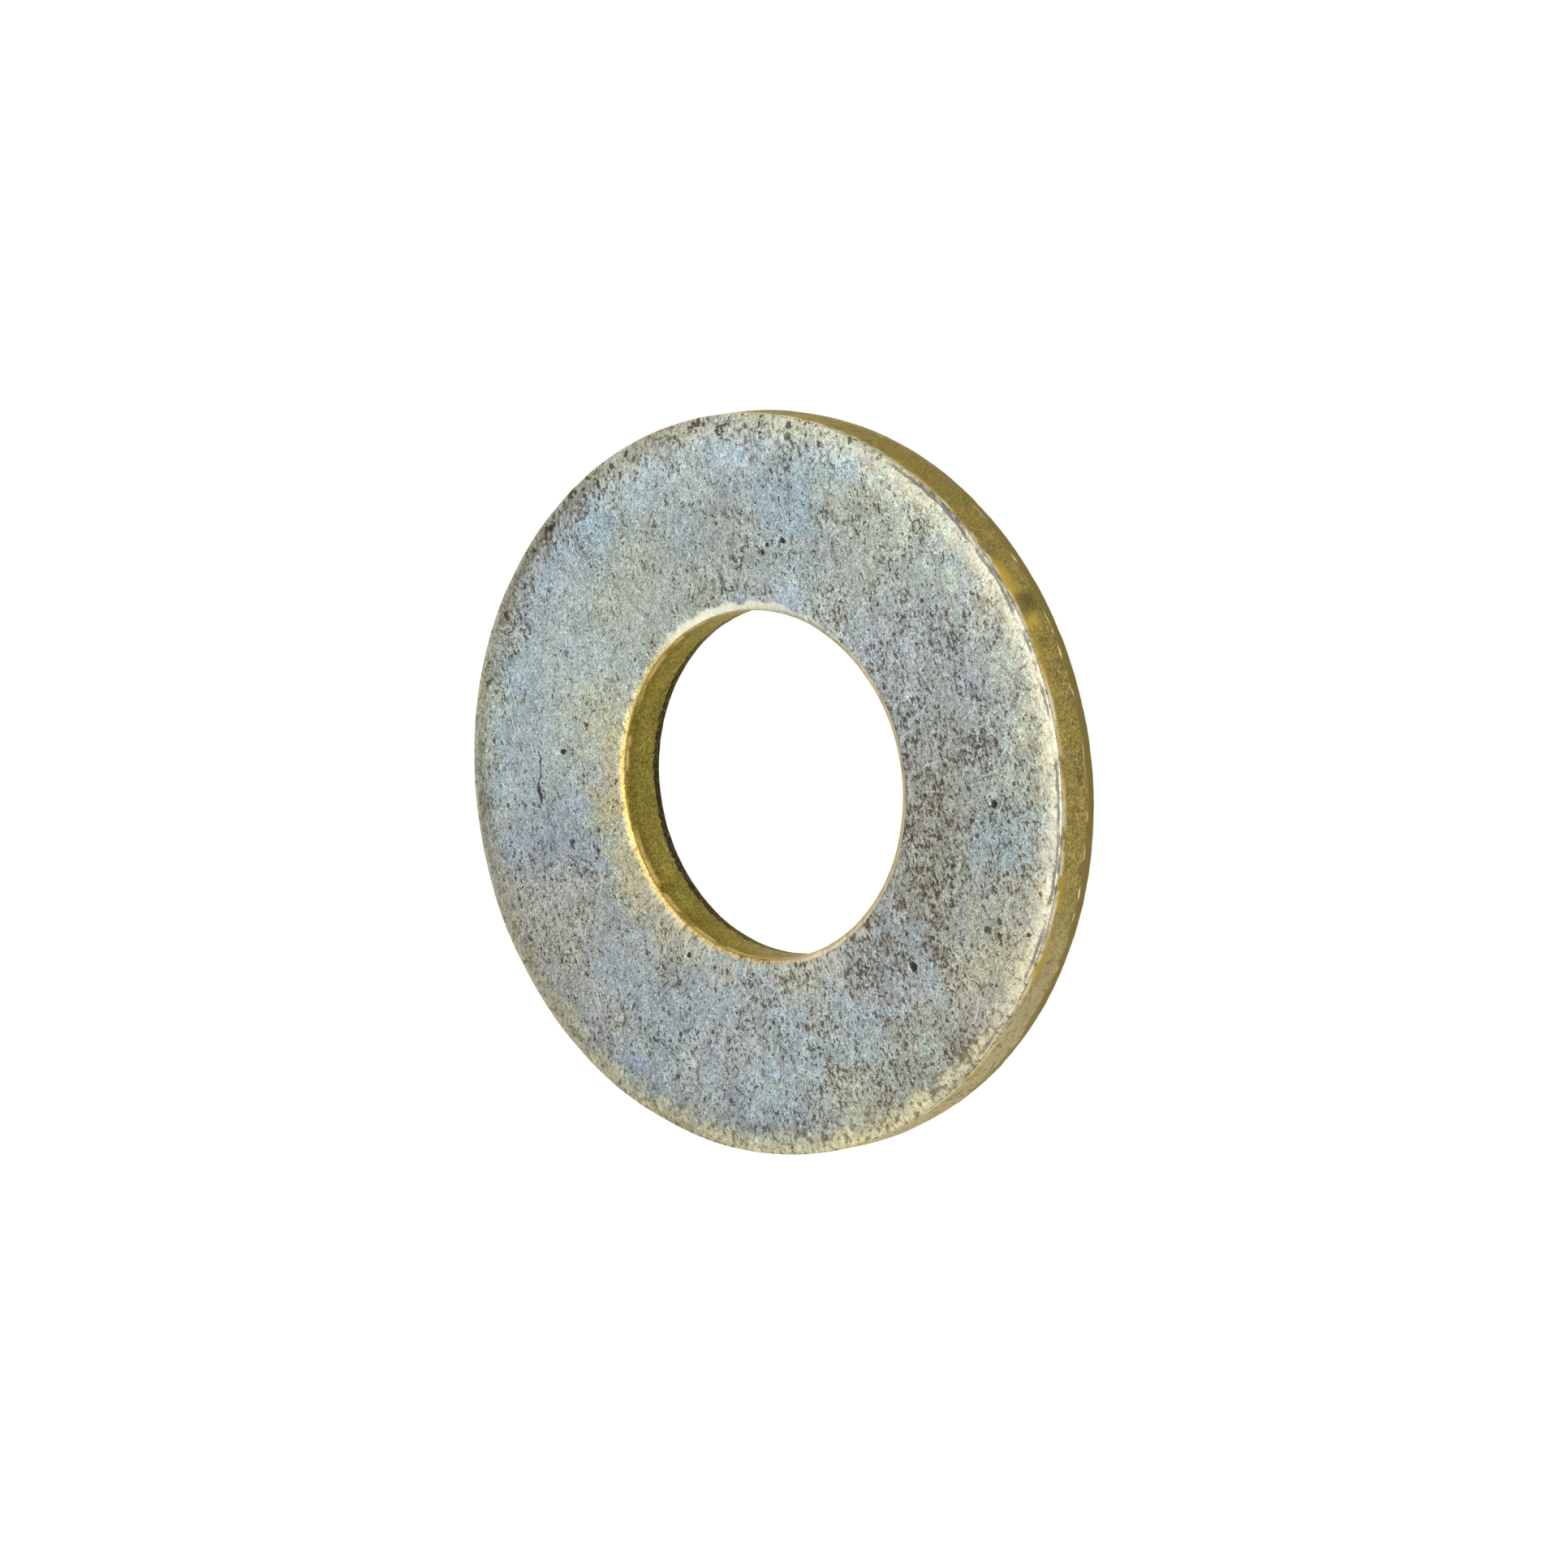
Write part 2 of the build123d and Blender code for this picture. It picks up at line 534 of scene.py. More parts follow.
# Marks on the rim's wall: an angle in degrees from +X, a height as a share of the thickness, a radius in
# millimetres and a colour
RIM_MARKS = [
    (-19.5, 0.84, 0.60, GOLD_MARK),
    (-26.5, 0.70, 0.50, GOLD_MARK),
    (-24.0, 0.60, 0.45, DARK_MARK),
    (-52.0, 0.45, 0.20, DARK_MARK),
]

# The hairline scratch, in millimetres: its distance from the axis, how far it drifts inwards, and how far
# from its middle it is gone and full
SCRATCH_REACH = 0.76 * RIM_RADIUS / MM
SCRATCH_DRIFT = 0.35
SCRATCH_SIDES = (0.034, 0.010)
# The angles where it starts, weakens and ends
SCRATCH_START = math.radians(120.5)
SCRATCH_WEAKENS = math.radians(131)
SCRATCH_END = math.radians(154)


# ---------------------------------------------------------------------------------------------------
# Materials
# ---------------------------------------------------------------------------------------------------
class Shader:
    """One material's nodes, in a form that is short to write."""

    def __init__(self, name):
        self.material = bpy.data.materials.new(name)
        self.material.use_nodes = True
        self.nodes = self.material.node_tree.nodes
        self.links = self.material.node_tree.links
        self.surface = self.nodes["Principled BSDF"]

    def feed(self, socket, value):
        if isinstance(value, bpy.types.NodeSocket):
            self.links.new(value, socket)
        else:
            socket.default_value = value

    def node(self, kind, *values, **settings):
        """A new node, with its own settings, and values or sockets for its first inputs."""
        made = self.nodes.new("ShaderNode" + kind)
        for name, setting in settings.items():
            setattr(made, name, setting)
        for socket, value in zip(made.inputs, values):
            self.feed(socket, value)
        return made

    def math(self, operation, *values):
        return self.node("Math", *values, operation=operation).outputs[0]

    def vector(self, operation, *values, output=0):
        return self.node("VectorMath", *values, operation=operation).outputs[output]

    def product(self, *values):
        total = values[0]
        for value in values[1:]:
            total = self.math("MULTIPLY", total, value)
        return total

    def turned(self, place, angle):
        """A place turned around the axis by an angle."""
        made = self.node("VectorRotate", place, rotation_type="Z_AXIS")
        made.inputs["Angle"].default_value = angle
        return made.outputs[0]

    def noise(self, place, scale, detail=2.0, rough=0.55, apart=None):
        """A noise with this many cells in each unit of place. With apart, it is another pattern."""
        if apart:
            place = self.vector("ADD", place, apart)
        made = self.node("TexNoise")
        self.feed(made.inputs["Vector"], place)
        made.inputs["Scale"].default_value = scale
        made.inputs["Detail"].default_value = detail
        made.inputs["Roughness"].default_value = rough
        return made.outputs[0]

    def wobble(self, place, scale, detail, amount):
        """A noise around 0, for a line or an edge that isn't even."""
        return self.product(self.math("SUBTRACT", self.noise(place, scale, detail), 0.5), amount)

    def mottling(self, *layers):
        """A factor around 1, from layers of noise. Each is a place, a scale, a detail and an amount."""
        factors = []
        for place, scale, detail, amount in layers:
            swing = self.node("MapRange", self.noise(place, scale, detail), 0.3, 0.7, 1 - amount, 1 + amount)
            factors.append(swing.outputs[0])
        return self.product(*factors)

    def step(self, value, low, high):
        """0 at low, 1 at high, and an S-curve between. low above high turns it round."""
        if low > high:
            return self.math("SUBTRACT", 1.0, self.step(value, high, low))
        made = self.node("MapRange", value, low, high, interpolation_type="SMOOTHSTEP")
        return made.outputs[0]

    def between(self, share, first, second):
        """A value from first to second as share goes from 0 to 1."""
        return self.node("MapRange", share, 0.0, 1.0, first, second).outputs[0]

    def blend(self, share, first, second, way="MIX"):
        made = self.node("Mix", data_type="RGBA", blend_type=way)
        self.feed(made.inputs[0], share)
        self.feed(made.inputs[6], first)
        self.feed(made.inputs[7], second)
        return made.outputs[2]

    def zone(self, name):
        return self.node("Attribute", attribute_name=name).outputs["Fac"]


class Place:
    """Where a point is on the washer, in millimetres, which zone it is in, and places drawn out for
    streaks."""

    def __init__(self, shader):
        coordinates = shader.node("TexCoord").outputs["Object"]
        self.mm = shader.vector("MULTIPLY", coordinates, (1 / MM, 1 / MM, 1 / MM))
        across = shader.vector("MULTIPLY", self.mm, (1, 1, 0))
        self.radius = shader.vector("LENGTH", across, output=1)
        self.way = shader.vector("NORMALIZE", across)
        parts = shader.node("SeparateXYZ", self.mm)
        self.height = parts.outputs[2]
        self.angle = shader.math("ARCTAN2", parts.outputs[1], parts.outputs[0])
        self.radial = self.drawn_out(shader, self.radius, 0.35)
        self.around = self.drawn_out(shader, self.height, 6.0)
        self.upright = self.drawn_out(shader, self.height, 0.7)
        self.streaked = shader.vector("MULTIPLY", shader.turned(self.mm, STREAK_TURN), STREAK_STRETCH)
        self.on_rim = shader.step(self.radius, *RIM_AND_BORE)
        self.in_bore = shader.math("SUBTRACT", 1.0, self.on_rim)
        self.wall = shader.zone("wall")
        self.roll = shader.zone("roll")
        self.fracture = shader.zone("fracture")
        self.pit = shader.zone("pit")

    def drawn_out(self, shader, second, second_scale):
        """A place that changes around the axis, and with second by its own scale. It has no seam, because
        it uses the direction and not the angle."""
        around = shader.vector("MULTIPLY", self.way, (AROUND_SCALE, AROUND_SCALE, 0))
        parts = shader.node("SeparateXYZ", around)
        along = shader.math("MULTIPLY", second, second_scale)
        return shader.node("CombineXYZ", parts.outputs[0], parts.outputs[1], along).outputs[0]


def toward(shader, place, angle):
    """1 on the side of the washer at this angle from +X, 0 at right angles to it, and -1 opposite."""
    return shader.vector("DOT_PRODUCT", place.way, (math.cos(angle), math.sin(angle), 0), output=1)


def on_side(shader, place, angle, start, full):
    """1 on the side at this angle, and 0 away from it. start and full are in the terms of toward."""
    return shader.step(toward(shader, place, angle), start, full)


# ---------------------------------------------------------------------------------------------------
# The face
# ---------------------------------------------------------------------------------------------------
def film(shader, place):
    """Blue and green zinc with lilac patches, fine mottling and cream freckles."""
    patches = shader.step(shader.noise(place.mm, 0.24, 2), 0.40, 0.64)
    color = shader.blend(patches, BLUE_ZINC, GREEN_ZINC)
    lilac = shader.step(shader.noise(place.mm, 0.40, 2, apart=(31, 7, 0)), 0.48, 0.66)
    color = shader.blend(shader.product(lilac, 0.40), color, LILAC_ZINC)
    stain = shader.product(toward(shader, place, STAINED_SIDE), 0.06)
    mottling = shader.mottling(
        (place.mm, 1.3, 2, 0.08),
        (place.streaked, 5.0, 2, 0.15),
        (place.mm, 12.0, 2, 0.31),
        (place.mm, 22.0, 1, 0.42),
    )
    mottling = shader.product(mottling, shader.math("SUBTRACT", 1.0, stain))
    color = shader.blend(1.0, color, mottling, "MULTIPLY")
    freckles = shader.step(shader.noise(place.mm, 6.0, 1, apart=(3, 51, 0)), 0.45, 0.65)
    return shader.blend(shader.product(freckles, 0.22), color, CREAM_ZINC)


def fleck_shift(shader, place, reach, rim_highlight):
    """What to add to the flecks' noise. There are more flecks on the stained side, around most of the
    rim and beside the bore, and fewer under the painted highlight."""
    side = toward(shader, place, STAINED_SIDE)
    off_sheen_side = on_side(shader, place, SHEEN_SIDE, 0.9, 0.2)
    near_rim = shader.product(shader.step(place.radius, *RIM_FLECK_REACH), off_sheen_side, 0.03)
    near_rim = shader.math("SUBTRACT", near_rim, shader.product(rim_highlight, 0.05))
    spotted = shader.step(reach, *SPOTTED_REACH)
    spotted = shader.product(spotted, on_side(shader, place, SPOTTED_SIDE, 0.4, 0.95), 0.04)
    near_rim = shader.math("ADD", near_rim, spotted)
    near_bore = shader.step(place.radius, *BORE_FLECK_REACH)
    near_bore = shader.product(near_bore, shader.step(side, 0.1, 0.9), 0.034)
    clusters = shader.wobble(place.mm, 1.0, 3, 0.22)
    over_face = shader.math("ADD", shader.product(side, 0.025), clusters)
    return shader.math("ADD", over_face, shader.math("ADD", near_rim, near_bore))


def flecks(shader, place, color, shift):
    for is_streaked, scale, low, high, strength, fleck_color in FLECKS:
        source = place.streaked if is_streaked else place.mm
        fleck = shader.math("ADD", shader.noise(source, scale, 3, 0.65), shift)
        color = shader.blend(shader.product(shader.step(fleck, low, high), strength), color, fleck_color)
    return color


def tints(shader, place, color, reach):
    for angle, start, none_at, full_at, factor in TINTS:
        share = on_side(shader, place, math.radians(angle), start, 1.0)
        share = shader.product(share, shader.step(reach, none_at, full_at))
        color = shader.blend(share, color, factor, "MULTIPLY")
    return color


def bore_streaks(shader, place, reach):
    """Short radial streaks beside the bore, on the side where the rim's painted sheen is."""
    streaks = shader.step(shader.noise(place.radial, 8.0, 3), 0.48, 0.58)
    near_bore = shader.step(reach, *BORE_STREAK_REACH)
    return shader.product(streaks, near_bore, on_side(shader, place, SHEEN_SIDE, 0.3, 0.9), 0.8)


def hairlines(shader, place, turn):
    """Fine straight scratches from tumbling, all along one direction across the face."""
    stretched = shader.vector("MULTIPLY", shader.turned(place.mm, turn), HAIRLINE_STRETCH)
    lines = shader.step(shader.noise(stretched, 1.0, 1), 0.66, 0.76)
    return shader.product(lines, shader.step(shader.noise(place.mm, 0.6, 1), 0.42, 0.60), 0.5)


def face_color(shader, place):
    """The film, its flecks, a painted highlight towards the rim on one side, the sides where its tone
    shifts, streaks beside the bore and hairlines.
    """
    reach = shader.math("ADD", place.radius, shader.wobble(place.mm, 1.8, 4, 2.4))
    # Painted highlight: towards the rim on one side the face is brightened and warmed
    rim_highlight = shader.product(shader.step(reach, *RIM_HIGHLIGHT_REACH), on_side(shader, place, HIGHLIT_SIDE, -0.35, 0.85))
    color = flecks(shader, place, film(shader, place), fleck_shift(shader, place, reach, rim_highlight))
    color = shader.blend(rim_highlight, color, RIM_HIGHLIGHT_TINT, "MULTIPLY")
    color = tints(shader, place, color, reach)
    color = shader.blend(bore_streaks(shader, place, reach), color, CREAM_EDGE)
    for turn in HAIRLINE_TURNS:
        color = shader.blend(hairlines(shader, place, turn), color, BRIGHT_LINE)
    return color


# ---------------------------------------------------------------------------------------------------
# Marks placed one by one
# ---------------------------------------------------------------------------------------------------
def distance_from(shader, place, share, angle, height):
    """Millimetres from a point at a share of the rim's radius, an angle in degrees from +X and a height
    in metres."""
    middle = Vector((*polar(share, angle), height)) / MM
    return shader.vector("DISTANCE", place.mm, middle, output=1)


def spot(shader, place, share, angle, height, radius, softness):
    """1 in a ragged spot of this radius in millimetres, and 0 around it. It is full within softness
    times the radius."""
    gap = distance_from(shader, place, share, angle, height)
    gap = shader.math("ADD", gap, shader.wobble(place.mm, 0.7 / radius, 3, 1.8 * radius))
    return shader.step(gap, radius, softness * radius)


def dark_dots(shader, place):
    """1 in the small dark dots on the top face, and 0 between them. nearest is the distance from the
    nearest dot in that dot's own radii, and starts out large."""
    nearest = 9.0
    for share, angle, radius in DARK_DOTS:
        gap = distance_from(shader, place, share, angle, THICKNESS)
        nearest = shader.math("MINIMUM", nearest, shader.math("DIVIDE", gap, radius))
    return shader.step(shader.math("ADD", nearest, shader.wobble(place.mm, 14.0, 2, 2.0)), 1.15, 0.70)


def scratch_share(shader, place):
    """The hairline scratch: a fine dark arc that fades out and drifts inwards."""
    drift = shader.step(place.angle, SCRATCH_WEAKENS, SCRATCH_END + 0.1)
    middle = shader.math("SUBTRACT", SCRATCH_REACH, shader.product(drift, SCRATCH_DRIFT))
    middle = shader.math("ADD", middle, shader.wobble(place.mm, 1.6, 3, 0.55))
    gap = shader.math("SUBTRACT", place.radius, middle)
    line = shader.step(shader.math("ABSOLUTE", gap), *SCRATCH_SIDES)
    start = shader.step(place.angle, SCRATCH_START, SCRATCH_START + 0.01)
    strong = shader.step(place.angle, SCRATCH_WEAKENS + 0.02, SCRATCH_WEAKENS)
    faint = shader.product(shader.step(place.angle, SCRATCH_END, SCRATCH_WEAKENS), 0.35)
    return shader.product(line, start, shader.math("MAXIMUM", strong, faint))


def add_marks(shader, place, color):
    """The brown floors of the pits, and the scratch."""
    color = shader.blend(shader.product(shader.step(place.pit, 0.05, 0.45), 0.85), color, PIT_BROWN)
    for share, angle, radius, _ in LARGE_PITS:
        dark = spot(shader, place, share, angle, THICKNESS, radius, 0.65)
        color = shader.blend(shader.product(dark, 0.95), color, PIT_BROWN)
    return shader.blend(shader.product(scratch_share(shader, place), 0.9), color, PIT_BROWN)


# ---------------------------------------------------------------------------------------------------
# The rolled shoulders. reach is how far along the roll a point is, made uneven.
# ---------------------------------------------------------------------------------------------------
def cream_shoulders(shader, place, color, reach, highlit_rim):
    """Painted cream highlight on the rolled shoulders, over the face's own mottling, palest on the rim's
    most brightly lit side.
    """
    cream = shader.step(reach, 0.10, 1.10)
    cream = shader.product(cream, shader.between(place.on_rim, 0.35, 0.90))
    creamy = shader.blend(1.0, color, CREAM_HIGHLIGHT_FACTOR, "MULTIPLY")
    creamy = shader.blend(shader.between(highlit_rim, 0.40, 0.75), creamy, CREAM_EDGE)
    return shader.blend(cream, color, creamy)


def rim_sides(shader, place, color, reach):
    """Painted shade as an olive fringe on the rim's roll on one side, and a painted highlight on another."""
    # Painted shade: an olive fringe at the end of the roll on the far side of the rim
    shade_fringe = on_side(shader, place, SHADED_SIDE, -0.10, 0.80)
    shade_fringe = shader.product(shade_fringe, shader.step(reach, 0.45, 1.05), place.on_rim, 0.30)
    color = shader.blend(shade_fringe, color, OLIVE_SHADE_FRINGE)
    # Painted highlight: the rim's roll is brightened and warmed on this side
    rim_sheen = on_side(shader, place, SHEEN_SIDE, 0.45, 0.95)
    rim_sheen = shader.product(rim_sheen, shader.step(reach, 0.40, 0.80), place.on_rim)
    return shader.blend(rim_sheen, color, SHEEN_FACTOR, "MULTIPLY")


def shoulder_flecks(shader, place, color, highlit_rim):
    """Brown flecks and radial streaks, more on the stained side and fewer on the side with the palest
    painted highlight.
    """
    shift = shader.product(toward(shader, place, STAINED_SIDE), 0.03)
    shift = shader.math("SUBTRACT", shift, shader.product(highlit_rim, 0.07))
    for source, scale, low, strength in ((place.mm, 6.0, 0.54, 0.7), (place.radial, 9.0, 0.55, 0.40)):
        fleck = shader.math("ADD", shader.noise(source, scale, 3, 0.6), shift)
        fleck = shader.product(shader.step(fleck, low, low + 0.12), shader.step(place.roll, 0.0, 0.5))
        color = shader.blend(shader.product(fleck, strength), color, BROWN_FLECK)
    return color


def bore_lip(shader, place, color, reach):
    """Around the bore, painted highlights: cream on one side, a gold tint on the lip on another where its
    highlight falls, a gold line along the edge, and pale gold on a third side."""
    # Painted highlight: cream on the bore's roll on one side
    pale = on_side(shader, place, BORE_HIGHLIGHT_SIDE, 0.60, 0.95)
    pale = shader.product(pale, shader.step(reach, 0.15, 0.55), place.in_bore)
    color = shader.blend(shader.product(pale, 0.8), color, BORE_CREAM_HIGHLIGHT)
    # Painted highlight: the lip is tinted gold where its highlight falls
    gold_highlight = on_side(shader, place, GOLD_LIP_HIGHLIGHT_SIDE, 0.0, 0.5)
    gold_highlight = shader.product(gold_highlight, shader.step(place.roll, 0.55, 0.85), place.in_bore)
    color = shader.blend(gold_highlight, color, GOLD_LIP_HIGHLIGHT_FACTOR, "MULTIPLY")
    # Painted highlight: a gold line along the bore's front edge
    edge = shader.product(shader.step(place.wall, 0.02, 0.30), place.in_bore)
    color = shader.blend(shader.product(edge, 0.85), color, GOLD_EDGE_HIGHLIGHT)
    # Painted highlight: pale gold on the bore's roll on a third side
    pale_highlight = on_side(shader, place, PALE_HIGHLIGHT_SIDE, 0.2, 0.6)
    pale_highlight = shader.product(pale_highlight, shader.step(place.roll, 0.35, 0.60), place.in_bore)
    return shader.blend(pale_highlight, color, PALE_GOLD)


def rim_lip(shader, place, color, reach, ragged):
    """Around the rim: a tan edge on the side with the painted shade, dark spots on the spotted one, and
    opposite that side a thin dark line where the roll ends."""
    tan = on_side(shader, place, SHADED_SIDE, 0.0, 0.5)
    tan = shader.product(tan, shader.step(place.wall, 0.02, 0.30), place.on_rim)
    color = shader.blend(shader.product(tan, 0.8), color, TAN_EDGE)
    spots = shader.step(shader.noise(place.mm, 3.4, 4, 0.65), 0.56, 0.62)
    spots = shader.product(spots, on_side(shader, place, SPOTTED_SIDE, 0.1, 0.8), place.on_rim)
    color = shader.blend(shader.product(spots, shader.step(reach, 0.1, 0.5), 0.9), color, DARK_SPOT)
    along = shader.math("ADD", place.roll, shader.product(ragged, 0.18))
    line = shader.product(
        shader.step(along, 0.87, 0.91),
        shader.step(along, 1.01, 0.97),
        place.on_rim,
        shader.step(shader.noise(place.mm, 1.2, 3), 0.34, 0.50),
        on_side(shader, place, SHEEN_SIDE, 0.95, 0.55),
        on_side(shader, place, SHADED_SIDE, -0.05, -0.45),
    )
    return shader.blend(shader.product(line, 0.85), color, DARK_LINE)


def shoulder_color(shader, place, color):
    """The rolled shoulders, over the colour of the face."""
    ragged = shader.wobble(place.mm, 2.2, 4, 1.3)
    reach = shader.math("ADD", place.roll, ragged)
    # The rim's side where the painted highlight on the shoulders is palest
    highlit_rim = shader.product(on_side(shader, place, HIGHLIT_SIDE, 0.2, 1.0), place.on_rim)
    color = cream_shoulders(shader, place, color, reach, highlit_rim)
    color = rim_sides(shader, place, color, reach)
    color = shoulder_flecks(shader, place, color, highlit_rim)
    color = bore_lip(shader, place, color, reach)
    return rim_lip(shader, place, color, reach, ragged)


# ---------------------------------------------------------------------------------------------------
# The cut walls
# ---------------------------------------------------------------------------------------------------
def wall_base(shader, place):
    """Grainy olive, golder high in the bore, and on the rim darker on one side with painted shade and paler
    and speckled on another."""
    color = shader.blend(place.on_rim, OLIVE_BORE, OLIVE_RIM)
    under_edge = shader.step(place.height, *BORE_GOLD_HEIGHT)
    color = shader.blend(shader.product(under_edge, place.in_bore, 0.6), color, BORE_GOLD)
    grain = shader.mottling(
        (place.upright, 3.0, 3, 0.08),
        (place.around, 2.0, 2, 0.08),
        (place.mm, 12.0, 2, 0.34),
        (place.mm, 22.0, 1, 0.45),
        (place.mm, 1.1, 3, 0.18),
    )
    color = shader.blend(1.0, color, grain, "MULTIPLY")
    # Painted shade: the rim's wall is darkened on this side
    side_shade = on_side(shader, place, WALL_SHADE_SIDE, 0.2, 1.0)
    color = shader.blend(shader.product(side_shade, place.on_rim, 0.40), color, SHADED_OLIVE)
    pale = shader.product(on_side(shader, place, PALE_SIDE, 0.4, 1.0), place.on_rim)
    color = shader.blend(shader.product(pale, 0.75), color, PALE_OLIVE)
    speckles = shader.step(shader.noise(place.mm, 6.0, 3), 0.54, 0.62)
    return shader.blend(shader.product(speckles, pale, 0.7), color, BROWN_FLECK)


def wall_gold(shader, place, color):
    """Gold patches high on the rim's wall, and a broken line of painted highlight in cream and gold along
    the top of both.
    """
    high = shader.step(place.height, *WALL_GOLD_HEIGHT)
    golden = shader.step(shader.noise(place.mm, 0.6, 3), 0.44, 0.62)
    color = shader.blend(shader.product(golden, high, place.on_rim, 0.85), color, GOLD_PATCH)
    # Painted highlight: a broken line along the walls' front edges
    crest_highlight = shader.step(shader.noise(place.mm, 1.6, 4, apart=(17, 5, 0)), 0.40, 0.56)
    crest_highlight = shader.product(shader.step(place.height, *CREST_HEIGHT), crest_highlight, 0.85)
    gold_highlight = shader.step(shader.noise(place.mm, 0.7, 3, apart=(2, 29, 0)), 0.44, 0.60)
    gold_highlight = shader.math("MAXIMUM", gold_highlight, place.in_bore)
    return shader.blend(crest_highlight, color, shader.blend(gold_highlight, CREAM_LIP_HIGHLIGHT, GOLD_EDGE_HIGHLIGHT))


def wall_marks(shader, place, color):
    """Brown dirt in two sizes, and the marks on the rim."""
    for scale, strength in ((3.0, 0.55), (9.0, 0.60)):
        dirt = shader.step(shader.noise(place.mm, scale, 3, apart=(9, 2, 0)), 0.60, 0.72)
        color = shader.blend(shader.product(dirt, strength), color, BROWN_FLECK)
    for angle, height, radius, mark_color in RIM_MARKS:
        mark = spot(shader, place, 1.0, angle, height * THICKNESS, radius, 0.2)
        color = shader.blend(shader.product(mark, 0.6), color, mark_color)
    return color


def broken_foot(shader, place, color):
    """The fracture with its ragged edge: olive on the rim, and in the bore black with pale flecks, partly
    the fracture's own dark and partly painted shade at the bore's foot.
    """
    tooth = shader.wobble(place.mm, 6.0, 3, 1.0)
    broken = shader.step(shader.math("ADD", place.fracture, tooth), 0.25, 0.50)
    uneven_height = shader.math("ADD", place.height, shader.product(tooth, 0.3))
    # Partly painted shade: low in the bore the black is carried a little above the break
    low_in_bore = shader.product(shader.step(uneven_height, *BLACK_BREAK_HEIGHT), place.in_bore)
    broken = shader.math("MAXIMUM", broken, low_in_bore)
    band = shader.blend(place.on_rim, BLACK_BREAK_AND_SHADE, OLIVE_BREAK)
    bright = shader.step(shader.noise(place.around, 5.0, 3), 0.58, 0.66)
    band = shader.blend(shader.product(bright, place.in_bore, 0.2), band, PALE_FLECK)
    return shader.blend(broken, color, band)


def burrs(shader, place):
    """Short bright burrs where the rim's fracture starts."""
    return shader.product(
        shader.step(shader.noise(place.around, 3.0, 3), 0.54, 0.59),
        shader.step(shader.noise(place.mm, 0.7, 2), 0.42, 0.52),
        shader.step(place.fracture, 0.02, 0.3),
        shader.step(place.height, *BURR_HEIGHT),
        place.on_rim,
        0.9,
    )


def wall_color(shader, place):
    """Olive-gold chromate on the cut walls, with the fracture along their foot."""
    color = wall_base(shader, place)
    color = wall_gold(shader, place, color)
    color = wall_marks(shader, place, color)
    color = broken_foot(shader, place, color)
    return shader.blend(burrs(shader, place), color, PALE_FLECK)


# ---------------------------------------------------------------------------------------------------
# The yellow zinc as a whole
# ---------------------------------------------------------------------------------------------------
BUMP_HEIGHT = 0.009 * MM
# The chromate is powdery on the far edge of the rim, and less of a metal there by this much
POWDER = 0.65


def powdery_edge(shader, place):
    on_shaded_side = on_side(shader, place, SHADED_SIDE, 0.1, 0.7)
    return shader.product(on_shaded_side, shader.step(place.roll, 0.72, 0.98), place.on_rim)


def fine_bump(shader, place):
    grain = shader.noise(place.mm, 12.0, 3)
    streaks = shader.product(shader.noise(place.radial, 4.0, 2), 0.5)
    bump = shader.node("Bump")
    bump.inputs["Strength"].default_value = 1.0
    bump.inputs["Distance"].default_value = BUMP_HEIGHT
    shader.feed(bump.inputs["Height"], shader.math("ADD", grain, streaks))
    return bump.outputs[0]


def yellow_zinc():
    shader = Shader("yellow_zinc")
    place = Place(shader)
    top = add_marks(shader, place, face_color(shader, place))
    top = shoulder_color(shader, place, top)
    top = shader.blend(shader.product(dark_dots(shader, place), 0.85), top, DOT_BROWN)
    on_wall = shader.step(place.wall, 0.72, 0.98)
    metal = shader.math("SUBTRACT", 1.0, shader.product(powdery_edge(shader, place), POWDER))
    roughness = shader.node("MapRange", shader.noise(place.mm, 3.0, 2), 0.3, 0.7, 0.33, 0.47).outputs[0]
    inputs = shader.surface.inputs
    shader.feed(inputs["Base Color"], shader.blend(on_wall, top, wall_color(shader, place)))
    shader.feed(inputs["Metallic"], metal)
    shader.feed(inputs["Roughness"], roughness)
    shader.feed(inputs["Normal"], fine_bump(shader, place))
    inputs["Specular Tint"].default_value = GRAZING_TINT
    return shader.material


# ---------------------------------------------------------------------------------------------------
# Floor, sky and lights
# ---------------------------------------------------------------------------------------------------
FLOOR_SIZE = 3
# The floor is an opal light table, which is what leaves a product shot without a shadow
FLOOR_GLOW = 0.75

# The studio's brightness by height above the horizon, as the sine of the elevation. The white backdrop
# ends a few degrees up, and the room above it is dark up to the ceiling.
SKY = [
    (0.00, (1.10, 1.100, 1.100, 1)),
    (0.08, (1.10, 1.100, 1.100, 1)),
    (0.13, (0.11, 0.105, 0.090, 1)),
    (0.45, (0.26, 0.250, 0.220, 1)),
    (0.72, (0.68, 0.700, 0.700, 1)),
    (0.88, (0.95, 0.950, 0.920, 1)),
    (1.00, (1.20, 1.170, 1.080, 1)),
]

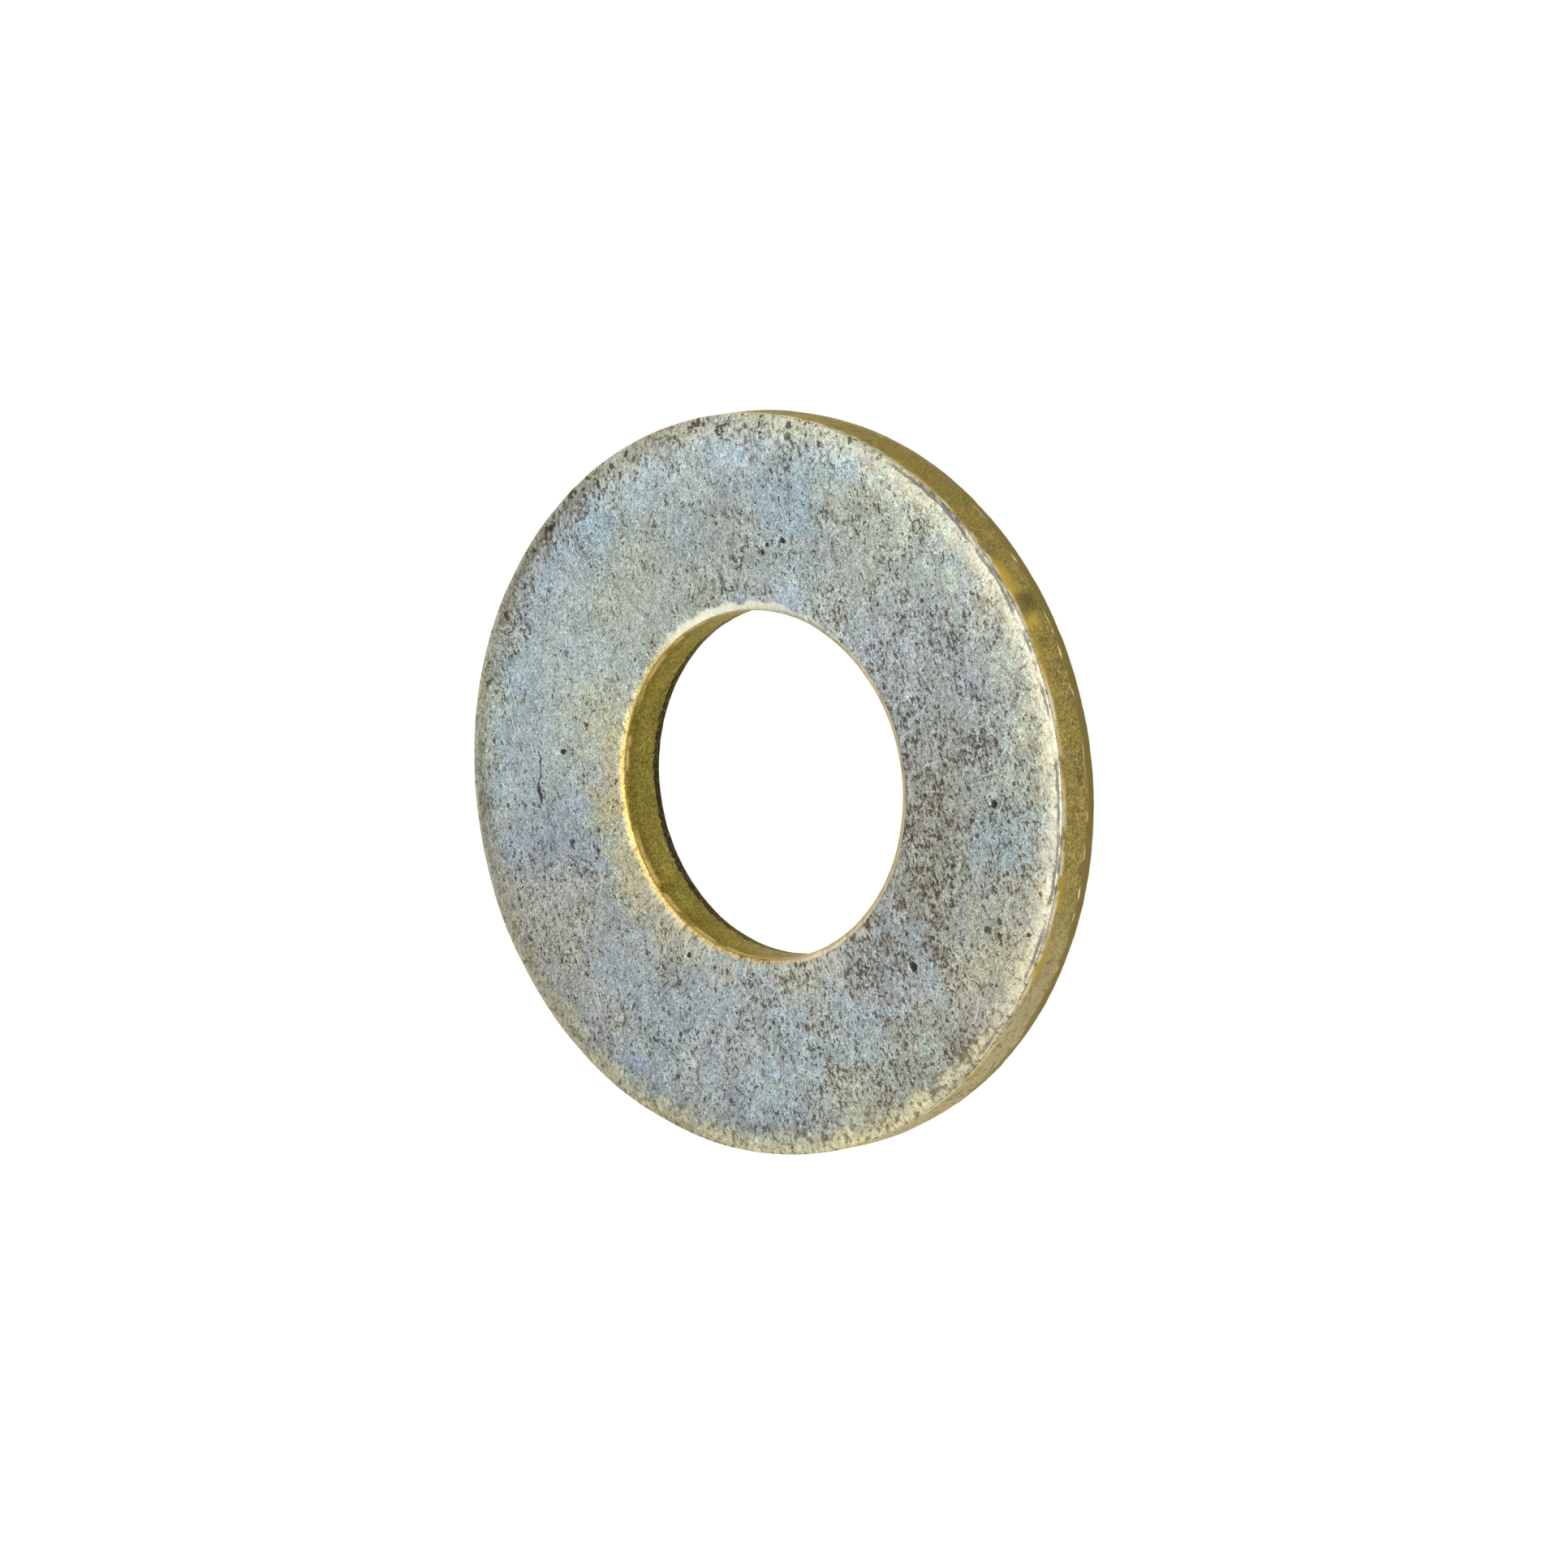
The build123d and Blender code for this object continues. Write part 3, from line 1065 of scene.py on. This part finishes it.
# Square lamps that face the washer: a name, an azimuth and an elevation, the distance and size in metres,
# how bright the lamp's surface is to the eye, and its colour
FAR_SIDE = CAMERA_AZIMUTH + math.pi
LAMPS = [
    ("key", CAMERA_AZIMUTH, math.radians(82), 0.8, 0.5, 2.6, (1.0, 0.97, 0.90)),
    ("left bounce", FAR_SIDE + math.radians(50), math.radians(38), 0.9, 0.5, 1.0, (1.0, 0.95, 0.82)),
    ("right bounce", FAR_SIDE - math.radians(55), math.radians(38), 0.9, 0.4, 0.9, (1.0, 0.98, 0.92)),
    ("fill", FAR_SIDE, math.radians(56), 0.9, 0.45, 0.45, (0.93, 0.98, 1.0)),
]


def pale_floor():
    shader = Shader("pale_floor")
    place = shader.node("TexCoord").outputs["Object"]
    shade = shader.node("MapRange", shader.noise(place, 4.0, 2), 0.3, 0.7, 0.50, 0.54).outputs[0]
    shader.feed(shader.surface.inputs["Base Color"], shade)
    shader.surface.inputs["Roughness"].default_value = 0.9
    shader.surface.inputs["Specular IOR Level"].default_value = 0.0
    shader.surface.inputs["Emission Color"].default_value = (1, 1, 1, 1)
    shader.surface.inputs["Emission Strength"].default_value = FLOOR_GLOW
    return shader.material


def add_floor():
    bpy.ops.mesh.primitive_plane_add(size=FLOOR_SIZE)
    floor = bpy.context.object
    floor.name = "floor"
    floor.data.materials.append(pale_floor())


def add_sky():
    world = bpy.data.worlds.new("studio")
    world.use_nodes = True
    nodes = world.node_tree.nodes
    links = world.node_tree.links
    coordinates = nodes.new("ShaderNodeTexCoord")
    parts = nodes.new("ShaderNodeSeparateXYZ")
    ramp = nodes.new("ShaderNodeValToRGB")
    links.new(coordinates.outputs["Generated"], parts.inputs[0])
    links.new(parts.outputs[2], ramp.inputs[0])
    links.new(ramp.outputs[0], nodes["Background"].inputs["Color"])
    stops = ramp.color_ramp.elements
    stops[0].position, stops[0].color = SKY[0]
    stops[1].position, stops[1].color = SKY[-1]
    for position, color in SKY[1:-1]:
        stops.new(position).color = color
    bpy.context.scene.world = world


def add_lamp(name, azimuth, elevation, distance, size, brightness, color):
    lamp = bpy.data.lights.new(name, "AREA")
    lamp.size = size
    lamp.energy = brightness * math.pi * size**2
    lamp.color = color
    light = bpy.data.objects.new(name, lamp)
    way = direction(azimuth, elevation)
    light.location = distance * way
    light.rotation_euler = way.to_track_quat("Z", "Y").to_euler()
    bpy.context.collection.objects.link(light)


washer = build_washer()
washer.data.materials.append(yellow_zinc())
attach(washer, "root")
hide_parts("flat_washer")

add_floor()
add_sky()
for lamp in LAMPS:
    add_lamp(*lamp)
bpy.context.scene.view_settings.view_transform = "Standard"
